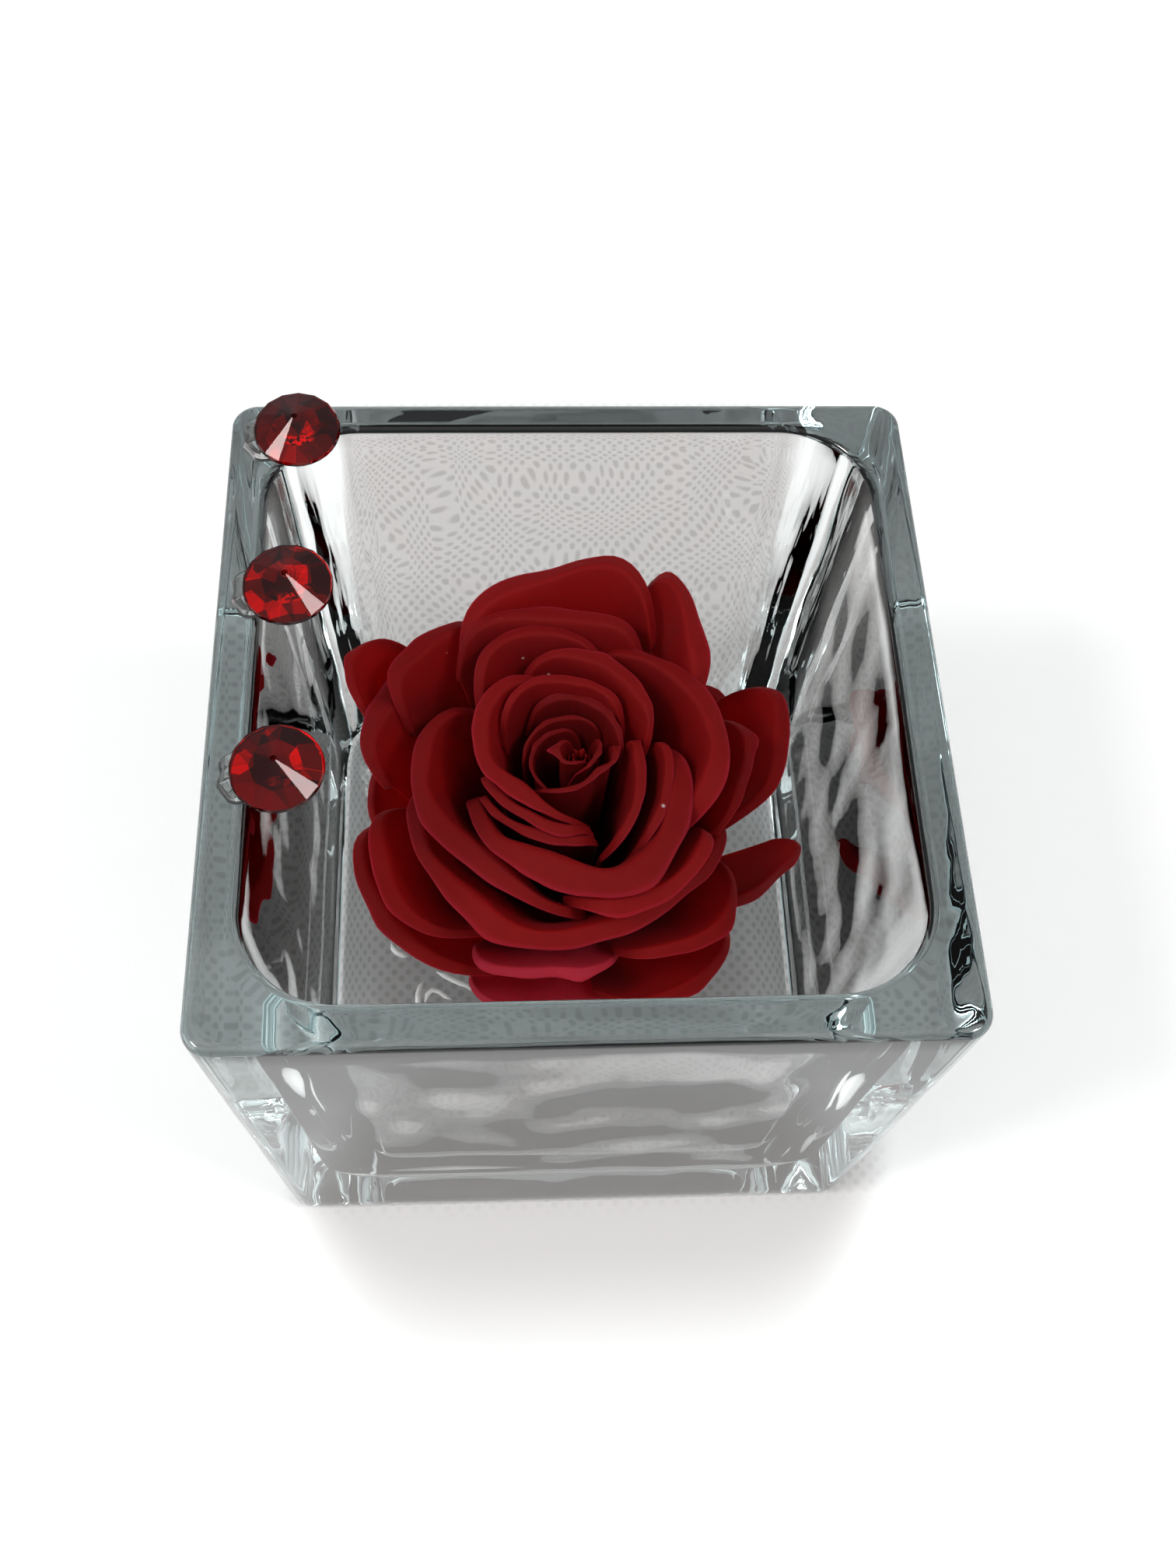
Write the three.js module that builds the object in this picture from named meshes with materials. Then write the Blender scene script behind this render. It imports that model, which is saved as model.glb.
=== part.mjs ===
// A preserved red rose glued inside a thick-walled pressed-glass cube, with three
// faceted red stones on the rim. Millimetres, +Z up. The origin is the middle of the
// base, on the surface that the cube stands on. -Y is the front, where the low petals are.
import * as THREE from "three";

// Glass cube
const CUBE_TOP_WIDTH = 80;
const CUBE_BASE_WIDTH = 78.6;
const CUBE_HEIGHT = 80;
const WALL_AT_RIM = 5;
const WALL_AT_FLOOR = 6.4;
const FLOOR_THICKNESS = 12;
const OUTER_CORNER_RADIUS = 3;
const INNER_CORNER_RADIUS = 10;
const RIM_EDGE_ROUND = 0.9;
const BASE_EDGE_ROUND = 2.4;
const FLOOR_FILLET = 5;
const CORNER_STEPS = 6;
const CORNER_TIGHTENING = 0.8;
const FLOOR_CORNER_TIGHTENING = 0.6;

// Gap kept between pieces that touch
const SEAT_GAP = 0.3;

// Rose
const ROSE_CENTRE_X = 1;
const ROSE_CENTRE_Y = 5.6;
const GLUE_RADIUS = 13;
const GLUE_HEIGHT = 1.8;
const HIP_RADIUS = 11.6;
const HIP_HEIGHT = 5;
const STEM_RADIUS = 3.2;
const STEM_LENGTH = 1.2;
const TURNED_SEGMENTS = 20;
const BUD_RADIUS = 0.6;
const BUD_HEIGHT = 33;
const BUD_SEGMENTS = 10;
const PETAL_THICKNESS = 0.42;
const CLAW_FIRST_RADIUS = 1.7;
const CLAW_RADIUS_STEP = 0.28;
const CLAW_WIDTH_SHARE = 0.45;
const CLAW_LIFT = 0.7;
const CLAW_THICKNESS_SHARE = 0.5;
const WIDEST_FROM = 0.5;
const EDGE_DROP = 0.22;
const EDGE_DROP_POWER = 5;
const TIP_WIDTH = 0.16;
const TIP_LENGTH_BASE = 10;
const BELLY_RADIUS_SHARE = 0.62;
const BELLY_HEIGHT_SHARE = 0.06;
const LEAN_PER_FLARE = 0.75;
const LEAN_RISE = 4;
const ROLL_FROM = 0.72;
const ROLL_DROP = 0.5;
const PETAL_STEPS_UP = 5;
const ROW_SPACING_POWER = 0.85;
const DEGREES_PER_COLUMN = 9;
const FEWEST_COLUMNS = 6;

// Faceted stones on the left rim, each held by a dab of glue
const STONE_RADIUS = 5;
const STONE_BACK_RADIUS = 4.8;
const STONE_TABLE_RADIUS = 1.3;
const STONE_CROWN_RADIUS = 3.4;
const STONE_CROWN_HEIGHT = 2.3;
const STONE_HEIGHT = 3.1;
const STONE_GIRDLE_HEIGHT = 0.8;
const STONE_FACETS = 16;
const STONE_INSET = 8.2;
const STONE_LEAN_DEG = 4;
const STONE_PLACES_Y = [34, 12.6, -10];
const DAB_RADIUS = 2.9;
const DAB_HEIGHT = 0.45;
const DAB_INSET = 5.3;
const DAB_GAP = 0.1;
const DAB_SEGMENTS = 16;

const DEG = Math.PI / 180;

const glassFinish = new THREE.MeshStandardMaterial({
  color: 0xdfe9e6, roughness: 0.03, metalness: 0, transparent: true, opacity: 0.3,
});
const petalFinish = new THREE.MeshStandardMaterial({ color: 0x7d0f14, roughness: 0.75, metalness: 0 });
const hipFinish = new THREE.MeshStandardMaterial({ color: 0x4a1512, roughness: 0.8, metalness: 0 });
const glueFinish = new THREE.MeshStandardMaterial({
  color: 0xe8e6e0, roughness: 0.1, metalness: 0, transparent: true, opacity: 0.4,
});
const stoneFinish = new THREE.MeshStandardMaterial({ color: 0x8c0710, roughness: 0.05, metalness: 0.3 });

// Builds a closed body from rings of points, each ring with the same number of points,
// closed at both ends by a fan to its middle.
function bodyOfRings(rings) {
  const count = rings[0].length;
  const points = rings.flat();
  const faces = [];
  for (let ring = 0; ring + 1 < rings.length; ring++) {
    for (let i = 0; i < count; i++) {
      const next = (i + 1) % count;
      const [a, b] = [ring * count + i, ring * count + next];
      const [c, d] = [a + count, b + count];
      faces.push([a, b, d], [a, d, c]);
    }
  }
  const ends = [[0, 1], [rings.length - 1, -1]];
  for (const [ring, side] of ends) {
    const middle = new THREE.Vector3();
    rings[ring].forEach((p) => middle.add(p));
    points.push(middle.divideScalar(count));
    for (let i = 0; i < count; i++) {
      const [a, b] = [ring * count + i, ring * count + (i + 1) % count];
      faces.push(side > 0 ? [b, a, points.length - 1] : [a, b, points.length - 1]);
    }
  }
  return closedGeometry(points, faces);
}

function closedGeometry(points, faces) {
  const geometry = new THREE.BufferGeometry().setFromPoints(points);
  geometry.setIndex(faces.flat());
  geometry.computeVertexNormals();
  return geometry;
}

// One level of the cube's outline: a square with round corners, seen from above.
function roundedSquare(width, cornerRadius, height) {
  const ring = [];
  const reach = width / 2 - cornerRadius;
  for (let corner = 0; corner < 4; corner++) {
    const middle = (45 + 90 * corner) * DEG;
    const [x, y] = [Math.sign(Math.cos(middle)) * reach, Math.sign(Math.sin(middle)) * reach];
    for (let step = 0; step <= CORNER_STEPS; step++) {
      const turn = (90 * corner + (90 * step) / CORNER_STEPS) * DEG;
      ring.push(new THREE.Vector3(x + cornerRadius * Math.cos(turn), y + cornerRadius * Math.sin(turn), height));
    }
  }
  return ring;
}

function outerWidthAt(height) {
  return CUBE_BASE_WIDTH + ((CUBE_TOP_WIDTH - CUBE_BASE_WIDTH) * height) / CUBE_HEIGHT;
}

function innerWidthAt(height) {
  const share = (height - FLOOR_THICKNESS) / (CUBE_HEIGHT - FLOOR_THICKNESS);
  const wall = WALL_AT_FLOOR + (WALL_AT_RIM - WALL_AT_FLOOR) * share;
  return outerWidthAt(height) - 2 * wall;
}

// The rings run up the outside, over the rim and down the inside to the floor.
function glassCube() {
  const rings = [];
  const outside = (inset, height) =>
    roundedSquare(outerWidthAt(height) - 2 * inset, OUTER_CORNER_RADIUS - inset * CORNER_TIGHTENING, height);
  const inside = (inset, height, radius) => roundedSquare(innerWidthAt(height) - 2 * inset, radius, height);
  for (const turn of [0, 45, 90]) {
    rings.push(outside(
      BASE_EDGE_ROUND * (1 - Math.sin(turn * DEG)),
      BASE_EDGE_ROUND * (1 - Math.cos(turn * DEG)),
    ));
  }
  for (const turn of [0, 45, 90]) {
    rings.push(outside(
      RIM_EDGE_ROUND * (1 - Math.cos(turn * DEG)),
      CUBE_HEIGHT - RIM_EDGE_ROUND * (1 - Math.sin(turn * DEG)),
    ));
  }
  for (const turn of [90, 45, 0]) {
    rings.push(inside(
      -RIM_EDGE_ROUND * (1 - Math.cos(turn * DEG)),
      CUBE_HEIGHT - RIM_EDGE_ROUND * (1 - Math.sin(turn * DEG)),
      INNER_CORNER_RADIUS + RIM_EDGE_ROUND * (1 - Math.cos(turn * DEG)),
    ));
  }
  for (const turn of [0, 30, 60, 90]) {
    const inset = FLOOR_FILLET * (1 - Math.cos(turn * DEG));
    rings.push(inside(
      inset,
      FLOOR_THICKNESS + FLOOR_FILLET * (1 - Math.sin(turn * DEG)),
      INNER_CORNER_RADIUS - inset * FLOOR_CORNER_TIGHTENING,
    ));
  }
  return bodyOfRings(rings);
}

// A lathe profile as [radius, height] pairs that start and end on the axis.
function turned(profile, segments) {
  const geometry = new THREE.LatheGeometry(profile.map(([r, z]) => new THREE.Vector2(r, z)), segments);
  return geometry.rotateX(Math.PI / 2);
}

function glueBead() {
  const rise = GLUE_HEIGHT;
  return turned([
    [0, 0], [GLUE_RADIUS, 0], [GLUE_RADIUS * 0.96, rise * 0.45],
    [GLUE_RADIUS * 0.8, rise * 0.85], [GLUE_RADIUS * 0.6, rise], [0, rise],
  ], TURNED_SEGMENTS);
}

function hip() {
  return turned([
    [0, 0], [STEM_RADIUS, 0], [STEM_RADIUS, STEM_LENGTH], [STEM_RADIUS * 1.7, HIP_HEIGHT * 0.4],
    [HIP_RADIUS * 0.86, HIP_HEIGHT * 0.66], [HIP_RADIUS, HIP_HEIGHT * 0.92],
    [HIP_RADIUS * 0.96, HIP_HEIGHT], [0, HIP_HEIGHT],
  ], TURNED_SEGMENTS);
}

function heartBud() {
  return turned([
    [0, 0], [BUD_RADIUS, 0], [BUD_RADIUS * 1.25, BUD_HEIGHT * 0.55],
    [BUD_RADIUS * 0.8, BUD_HEIGHT * 0.9], [0, BUD_HEIGHT],
  ], BUD_SEGMENTS);
}

// The petals, from the heart outwards. at: compass angle of the petal's middle, in degrees
// from +X towards +Y. half: half its spread at the widest. lip: the lip's distance from the
// rose's axis at five places from the clockwise end to the other. top: the lip's height
// above the hip's foot. flare: how far the lip leans out. tip: the point on the lip, as
// [place across from -1 to 1, extra length]. curl: how far the lip rolls outwards.
const PETALS = [
  { at: 215, half: 100, lip: [1.5, 2.5, 3, 2.4, 1.5], top: 40.8, flare: 0.3, curl: 0.1, tip: [-0.26, 1.8] },
  { at: 330, half: 85, lip: [3.4, 2.9, 2.5, 2.9, 3.3], top: 40.2, flare: 0.3, curl: 0.1, tip: [0.2, 0.4] },
  { at: 160, half: 80, lip: [4.2, 4.7, 5.7, 6.4, 5.6], top: 39.6, flare: 0.5, curl: 0.2, tip: [0, 0.4] },
  { at: 115, half: 75, lip: [4.9, 5.2, 5.7, 6.6, 7.5], top: 40.8, flare: 0.6, curl: 0.2, tip: [0.2, 0.4] },
  { at: 295, half: 80, lip: [8.4, 7, 5.1, 5.2, 4.4], top: 41.9, flare: 0.6, curl: 0.2, tip: [0.8, 0.9] },
  { at: 68, half: 76, lip: [6, 5.9, 6.7, 7.8, 8.9], top: 42.4, flare: 1, curl: 0.3, tip: [-0.2, 0.4] },
  { at: -31, half: 49, lip: [15.2, 12, 9.4, 8, 7.6], top: 41.6, flare: 2.2, curl: 0.4, tip: [0.8, 0.9] },
  { at: 98, half: 70, lip: [7.6, 8, 9, 10.5, 11], top: 43, flare: 1.3, curl: 0.3, tip: [0.3, 0.4] },
  { at: 190, half: 88, lip: [11.2, 13.6, 12.9, 11, 11.4], top: 42.6, flare: 2.6, curl: 0.5, tip: [0.1, 0.4] },
  { at: 61, half: 65, lip: [9.6, 10.4, 11.6, 12.9, 14.4], top: 43.4, flare: 2.6, curl: 0.4, tip: [0.2, 0.4] },
  { at: 234, half: 46, lip: [13.8, 12.9, 12.4, 12.6, 11.8], top: 41.6, flare: 2.8, curl: 0.4, tip: [0.5, 0.4] },
  { at: -26, half: 40, lip: [16.6, 14, 12.6, 11.6, 10.8], top: 41.4, flare: 3, curl: 0.3, tip: [-0.5, 0.4] },
  { at: 110, half: 41, lip: [13.8, 15.4, 17.6, 18, 16.8], top: 43.4, flare: 3.6, curl: 0.6, tip: [-0.2, 0.4] },
  { at: 240, half: 42, lip: [14.8, 14, 13.7, 13.5, 12.7], top: 40.6, flare: 2.8, curl: 0.4, tip: [-0.5, 0.4] },
  { at: 286, half: 90, lip: [16.9, 18.1, 20.3, 15.9, 12.8], top: 41.2, flare: 3.8, curl: 1, tip: [0.07, 1] },
  { at: 24, half: 66, lip: [18.4, 18.9, 18.7, 16.8, 16.6], top: 41.6, flare: 4.6, curl: 0.8, tip: [-0.5, 0.5] },
  { at: 298, half: 36, lip: [20.6, 22, 22.4, 21.2, 20.8], top: 39, flare: 5, curl: 0.6, tip: [-0.5, 1.4] },
  { at: 206, half: 66, lip: [18.4, 21.2, 20.9, 20.3, 22.4], top: 38.4, flare: 5, curl: 0.8, tip: [-0.06, 1.2] },
  { at: 98, half: 43, lip: [19.2, 18.6, 19.2, 21.3, 23.2], top: 43.6, flare: 5, curl: 0.6, tip: [0, 0.4] },
  { at: 0, half: 26, lip: [22.2, 21.6, 22.6, 22.6, 20.4], top: 36.8, flare: 5.4, curl: 0.5, tip: [0.3, 1.6] },
  { at: 260, half: 86, lip: [23.4, 23.8, 24.4, 22.2, 23.1], top: 34.6, flare: 5.6, curl: 0.7, tip: [-0.2, 1.8] },
  { at: 49, half: 22, lip: [20.6, 22.2, 25, 28.8, 30.6], top: 42, flare: 5.8, curl: 0.9, tip: [0.7, 0.6] },
  { at: 140, half: 22, lip: [26.4, 26.5, 27.2, 27.8, 26.8], top: 38.6, flare: 5.8, curl: 0.6, tip: [0, 0.4] },
  { at: -50, half: 28, lip: [25.2, 26, 27.5, 25.6, 22.8], top: 28.8, flare: 6.6, curl: 0.5, tip: [0.1, 1.2] },
  { at: 97, half: 39, lip: [24.4, 27.8, 25.6, 25.2, 24.4], top: 44, flare: 6, curl: 0.8, tip: [-0.5, 0.6] },
  { at: 209, half: 30, lip: [27.4, 28, 28.9, 28.2, 24.6], top: 29, flare: 6.6, curl: 0.5, tip: [0.2, 1] },
  { at: 12, half: 25, lip: [24, 27.2, 29.3, 31, 29.2], top: 31.6, flare: 7, curl: 0.5, tip: [0.5, 0.6] },
  { at: 259, half: 26, lip: [27.4, 26.7, 25.2, 24.6, 24.6], top: 25.6, flare: 6.8, curl: 0.4, tip: [0.4, 1.2] },
  { at: 160, half: 18, lip: [29.2, 28.8, 28.9, 29, 29], top: 35, flare: 5.4, curl: 1.1, tip: [0, 0.4] },
  { at: -21, half: 14, lip: [25.8, 27.6, 29.4, 31, 32.4], top: 25, flare: 7.4, curl: 0.3, tip: [0.3, 0.4] },
  { at: 149, half: 13, lip: [30, 33.6, 34.6, 33, 30.8], top: 35, flare: 5.4, curl: 0.4, tip: [0.1, 0.8] },
  { at: 211, half: 35, lip: [31.3, 31.1, 30.3, 29.1, 27], top: 21.6, flare: 7.4, curl: 0.6, tip: [0, 0.6] },
  { at: 42, half: 27, lip: [29, 29.2, 28.2, 26.8, 26.2], top: 22, flare: 7.2, curl: 0.5, tip: [0, 0.6] },
  { at: -58, half: 27, lip: [28, 29, 29.3, 28.5, 26.8], top: 19.6, flare: 7.4, curl: 0.5, tip: [0, 0.6] },
  { at: 104, half: 31, lip: [27, 27, 27, 27.6, 28.4], top: 28, flare: 6.2, curl: 0.5, tip: [0, 0.6] },
  { at: 152, half: 30, lip: [28.6, 29.4, 29.8, 29.8, 29.6], top: 17, flare: 7.4, curl: 0.5, tip: [0, 0.6] },
  { at: 262, half: 28, lip: [29.4, 29, 28.4, 28.6, 29.2], top: 17.8, flare: 7.4, curl: 0.4, tip: [0, 0.6] },
];

// A smooth value through five evenly spaced ones. place runs from -1 to 1.
function through(values, place) {
  const spot = Math.min(Math.max((place + 1) * 2, 0), 4);
  const left = Math.min(Math.floor(spot), 3);
  const share = spot - left;
  const [a, b, c, d] = [-1, 0, 1, 2].map((step) => values[Math.min(Math.max(left + step, 0), 4)]);
  return b + 0.5 * share * (c - a + share * (2 * a - 5 * b + 4 * c - d + share * (3 * (b - c) + d - a)));
}

// A point on the inner face of a petal. across runs from -1 to 1, up from 0 at the claw to 1 at
// the lip. All of a petal lies on one surface of radius against angle, and the claw is a narrow
// part of that surface, so petals whose lips are clear of each other are clear all the way down.
function petalPoint(petal, order, across, up) {
  const [tipPlace, tipLength] = petal.tip;
  const spread = CLAW_WIDTH_SHARE + (1 - CLAW_WIDTH_SHARE) * Math.sin(Math.min(up / WIDEST_FROM, 1) * 90 * DEG);
  const place = across * spread;
  const clawRadius = CLAW_FIRST_RADIUS + CLAW_RADIUS_STEP * order;
  const clawHeight = HIP_HEIGHT + CLAW_LIFT;
  const lipRadius = through(petal.lip, place) - petal.curl;
  const tipRise = tipLength * Math.exp(-(((across - tipPlace) / TIP_WIDTH) ** 2));
  const edgeDrop = EDGE_DROP * Math.abs(across) ** EDGE_DROP_POWER;
  const t = up * (1 - edgeDrop + tipRise / (petal.top + TIP_LENGTH_BASE));
  const s = 1 - t;
  const radii = [
    clawRadius,
    clawRadius + BELLY_RADIUS_SHARE * (lipRadius - petal.flare - clawRadius),
    lipRadius - petal.flare,
    lipRadius,
  ];
  const heights = [
    clawHeight,
    clawHeight + BELLY_HEIGHT_SHARE * petal.top,
    petal.top - LEAN_PER_FLARE * petal.flare - LEAN_RISE,
    petal.top,
  ];
  const weights = [s * s * s, 3 * s * s * t, 3 * s * t * t, t * t * t];
  const roll = Math.max(0, (up - ROLL_FROM) / (1 - ROLL_FROM));
  const radius = weights.reduce((sum, w, i) => sum + w * radii[i], 0) + petal.curl * roll * roll;
  const height = weights.reduce((sum, w, i) => sum + w * heights[i], 0) - ROLL_DROP * petal.curl * roll ** 3;
  const angle = (petal.at + place * petal.half) * DEG;
  return new THREE.Vector3(radius * Math.cos(angle), radius * Math.sin(angle), height);
}

// A petal as a thin closed shell: an inner and an outer sheet joined round the edge.
function petalShell(petal, order) {
  const stepsAcross = Math.max(FEWEST_COLUMNS, Math.round(petal.half / DEGREES_PER_COLUMN));
  const rows = PETAL_STEPS_UP + 1;
  const columns = stepsAcross + 1;
  const small = 1e-3;
  const inner = [];
  const outer = [];
  for (let row = 0; row < rows; row++) {
    const up = (row / PETAL_STEPS_UP) ** ROW_SPACING_POWER;
    const thickness = PETAL_THICKNESS * (CLAW_THICKNESS_SHARE + (1 - CLAW_THICKNESS_SHARE) * up);
    for (let column = 0; column < columns; column++) {
      const across = -1 + (2 * column) / stepsAcross;
      const here = petalPoint(petal, order, across, up);
      const upward = petalPoint(petal, order, across, up + small).sub(petalPoint(petal, order, across, up - small));
      const sideways = petalPoint(petal, order, across + small, up).sub(petalPoint(petal, order, across - small, up));
      inner.push(here);
      outer.push(here.clone().addScaledVector(sideways.cross(upward).normalize(), thickness));
    }
  }
  const points = [...inner, ...outer];
  const faces = [];
  const back = inner.length;
  const quad = (a, b, c, d) => faces.push([a, b, c], [a, c, d]);
  for (let row = 0; row + 1 < rows; row++) {
    for (let column = 0; column + 1 < columns; column++) {
      const a = row * columns + column;
      const [b, c, d] = [a + 1, a + columns + 1, a + columns];
      quad(a, d, c, b);
      quad(a + back, b + back, c + back, d + back);
    }
  }
  const edge = [];
  for (let column = 0; column < columns; column++) edge.push(column);
  for (let row = 1; row < rows; row++) edge.push(row * columns + columns - 1);
  for (let column = columns - 2; column >= 0; column--) edge.push((rows - 1) * columns + column);
  for (let row = rows - 2; row > 0; row--) edge.push(row * columns);
  edge.forEach((a, i) => {
    const b = edge[(i + 1) % edge.length];
    quad(a, b, b + back, a + back);
  });
  return closedGeometry(points, faces);
}

// A flat-backed stone: a low girdle, two rows of crown facets and a small table.
function stone() {
  const ring = (radius, height, turn) => Array.from({ length: STONE_FACETS }, (_, i) => {
    const angle = ((i + turn) * 2 * Math.PI) / STONE_FACETS;
    return new THREE.Vector3(radius * Math.cos(angle), radius * Math.sin(angle), height);
  });
  return bodyOfRings([
    ring(STONE_BACK_RADIUS, 0, 0),
    ring(STONE_RADIUS, STONE_GIRDLE_HEIGHT, 0),
    ring(STONE_CROWN_RADIUS, STONE_CROWN_HEIGHT, 0.5),
    ring(STONE_TABLE_RADIUS, STONE_HEIGHT, 0),
  ]);
}

function glueDab() {
  return turned([
    [0, 0], [DAB_RADIUS * 0.8, 0], [DAB_RADIUS, DAB_HEIGHT * 0.4],
    [DAB_RADIUS * 0.8, DAB_HEIGHT], [0, DAB_HEIGHT],
  ], DAB_SEGMENTS);
}

function named(name, geometry, material) {
  const mesh = new THREE.Mesh(geometry, material);
  mesh.name = name;
  return mesh;
}

const object = new THREE.Group();
object.add(named("glass_cube", glassCube(), glassFinish));

const rose = new THREE.Group();
rose.position.set(ROSE_CENTRE_X, ROSE_CENTRE_Y, FLOOR_THICKNESS + SEAT_GAP);
rose.add(named("glue_bead", glueBead(), glueFinish));

const flower = new THREE.Group();
flower.position.z = GLUE_HEIGHT + SEAT_GAP;
flower.add(named("rose_hip", hip(), hipFinish));
const bud = named("heart_bud", heartBud(), petalFinish);
bud.position.z = HIP_HEIGHT + SEAT_GAP;
flower.add(bud);
PETALS.forEach((petal, order) => {
  const name = `petal_${String(order + 1).padStart(2, "0")}`;
  flower.add(named(name, petalShell(petal, order), petalFinish));
});
rose.add(flower);
object.add(rose);

STONE_PLACES_Y.forEach((y, i) => {
  const dab = named(`stone_glue_${i + 1}`, glueDab(), glueFinish);
  dab.position.set(DAB_INSET - CUBE_TOP_WIDTH / 2, y, CUBE_HEIGHT + DAB_GAP);
  object.add(dab);

  const lift = STONE_RADIUS * Math.sin(STONE_LEAN_DEG * DEG) + DAB_HEIGHT + 2 * DAB_GAP;
  const gem = named(`red_stone_${i + 1}`, stone(), stoneFinish);
  gem.position.set(STONE_INSET - CUBE_TOP_WIDTH / 2, y, CUBE_HEIGHT + lift);
  gem.rotation.x = STONE_LEAN_DEG * DEG;
  object.add(gem);
});

export default object;
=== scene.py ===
"""A preserved red rose glued inside a thick pressed-glass cube, with red stones on its rim."""
import math

import bmesh
import bpy
from mathutils import Matrix, Vector, noise


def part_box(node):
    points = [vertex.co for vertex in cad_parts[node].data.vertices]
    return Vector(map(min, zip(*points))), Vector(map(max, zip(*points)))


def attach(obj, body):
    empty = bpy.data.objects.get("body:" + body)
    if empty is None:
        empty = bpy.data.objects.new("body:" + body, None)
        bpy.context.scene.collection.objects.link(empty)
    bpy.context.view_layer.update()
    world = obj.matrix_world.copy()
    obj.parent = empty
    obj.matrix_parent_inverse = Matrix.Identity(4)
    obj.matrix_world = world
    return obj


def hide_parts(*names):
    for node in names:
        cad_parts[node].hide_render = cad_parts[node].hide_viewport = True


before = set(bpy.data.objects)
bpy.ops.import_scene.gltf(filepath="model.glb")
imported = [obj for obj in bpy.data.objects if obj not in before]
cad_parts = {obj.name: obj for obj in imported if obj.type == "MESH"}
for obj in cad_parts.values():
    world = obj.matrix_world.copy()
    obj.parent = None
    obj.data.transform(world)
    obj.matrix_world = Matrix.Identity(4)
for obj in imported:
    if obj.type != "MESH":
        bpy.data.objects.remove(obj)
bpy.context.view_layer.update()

# Shapes are in mm. Materials, lamps and the floor are in metres.
MM = 0.001


def measure(node_name):
    """A solid's middle seen from above, half its width, its foot's height and its own height."""
    low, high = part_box(node_name)
    middle = ((low[0] + high[0]) / 2 / MM, (low[1] + high[1]) / 2 / MM)
    return middle, (high[0] - low[0]) / 2 / MM, low[2] / MM, (high[2] - low[2]) / MM


# The cube. Its walls thicken towards the floor, and its rim slopes down towards the back. A corner
# tightens by a share of what a round edge takes in, and is no larger than a share of a half side.
CUBE_LOW, CUBE_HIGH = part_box("glass_cube")
CUBE_HEIGHT = (CUBE_HIGH[2] - CUBE_LOW[2]) / MM
CUBE_TOP_WIDTH = (CUBE_HIGH[0] - CUBE_LOW[0]) / MM
CUBE_DRAFT = 1.4
CUBE_BASE_WIDTH = CUBE_TOP_WIDTH - CUBE_DRAFT
WALL_AT_RIM = 5.0
WALL_AT_FLOOR = 6.4
FLOOR_THICKNESS = 12.0
OUTER_CORNER_RADIUS = 3.0
INNER_CORNER_RADIUS = 10.0
FLOOR_CORNER_RADIUS = 7
LARGEST_CORNER = 0.9
OUTER_CORNER_TIGHTENS = 0.8
FLOOR_CORNER_TIGHTENS = 0.6
RIM_EDGE_ROUND = 0.9
BASE_EDGE_ROUND = 2.4
FLOOR_FILLET = 5.0
RIM_SLOPE = 1.1
RIM_SLOPE_BEND = 1.15

# How the glass is divided. A quarter of a level has this many steps, and its corner starts after
# a share of them. Shares of the underside and of the floor go out from and in to the middle.
QUARTER_STEPS = 44
ARC_FROM = 0.32
WALL_LEVELS = 26
EDGE_STEPS = 6
RIM_LEVELS = 10
RIM_FLAT_FROM = 0.16
RIM_FLAT_SHARE = 0.68
UNDERSIDE_SHARES = (0.04, 0.25, 0.5, 0.75, 0.92)
FLOOR_SHARES = (0.9, 0.78, 0.64, 0.5, 0.36, 0.22, 0.1, 0.03)

# How wavy the faces of the glass are, and how wide its streaks and swells
OUTER_WAVE = 0.08
INNER_WAVE = 0.26
RIM_WAVE = 0.04
FLOOR_WAVE = 0.16
STREAK_WIDTH = 3.4
SWELL_WIDTH = 13
STREAK_ON_FLATS = 0.3
SWELL_SHARE = 0.8
FLOOR_WAVE_WIDTH = 7

# The rose stands on the hip
HIP_MIDDLE, HIP_RADIUS, HIP_FOOT, HIP_HEIGHT = measure("rose_hip")
ROSE_CENTRE = Vector((*HIP_MIDDLE, HIP_FOOT))

# A petal's body rises from a narrow claw, widens, and leans out to its lip
CLAW_FIRST_RADIUS = 1.7
CLAW_RADIUS_STEP = 0.28
CLAW_WIDTH_SHARE = 0.45
CLAW_LIFT = 0.7
FULL_WIDTH_FROM = 0.5
SHOULDER_OUT = 0.62
SHOULDER_UP = 0.06
LEAN_DROP = 0.75
LEAN_RISE = 4.0
EDGE_DROP = 0.22
EDGE_DROP_POWER = 5
PETAL_THICKNESS = 0.2
LEAST_STEPS_ACROSS = 14
DEGREES_PER_STEP = 2.6
STEPS_UP = 22
STEPS_CROWD_LIP = 0.8

# Its lip bends over the first share of the roll and runs on as a flap. The roll is less at the
# petal's sides, and grows with the petal's curl.
LIP_SHARE = 0.32
LIP_TURN = math.radians(86)
LIP_TURN_VARIES = 0.25
BEND_SHARE = 0.5
BEND_RADIUS = 0.32
FLAP_LENGTH = 1.0
ROLL_PER_CURL = 2.6
ROLL_FADES = 0.5
ROLL_VARIES = 0.7
ROLL_REACH = 1.3
ROLL_SHORTENS = 0.4
HEADING_STEP = 0.01

# The point on its lip
TIP_GAIN = 1.5
TIP_WIDTH = 0.09
TIP_UP = 0.6
TIP_OUT = 0.6
TIP_ROOM = 10

# Its waves: how often each runs round the rose, and how far apart two petals' draws of it lie
SWAY = (2.2, 3.7)
RIPPLE = (7, 1.9)
CREASE = (4.3, 5.1)
CREASE_START = 9
FRILL_LENGTH = 2.6
FRILL_DRAW = 2.3
FRILL_LEAST_RADIUS = 3

# How far the waves push it. A petal that leans out has more room for them.
WAVE_ROOM = 0.1
WAVE_ROOM_PER_LEAN = 0.11
SWAY_OUT = 0.5
RIPPLE_OUT = 0.45
CREASE_IN = 0.9
CREASE_LEVEL = 0.2
SWAY_UP = 1.3
RIPPLE_UP = 0.5
FRILL = 0.35

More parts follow.
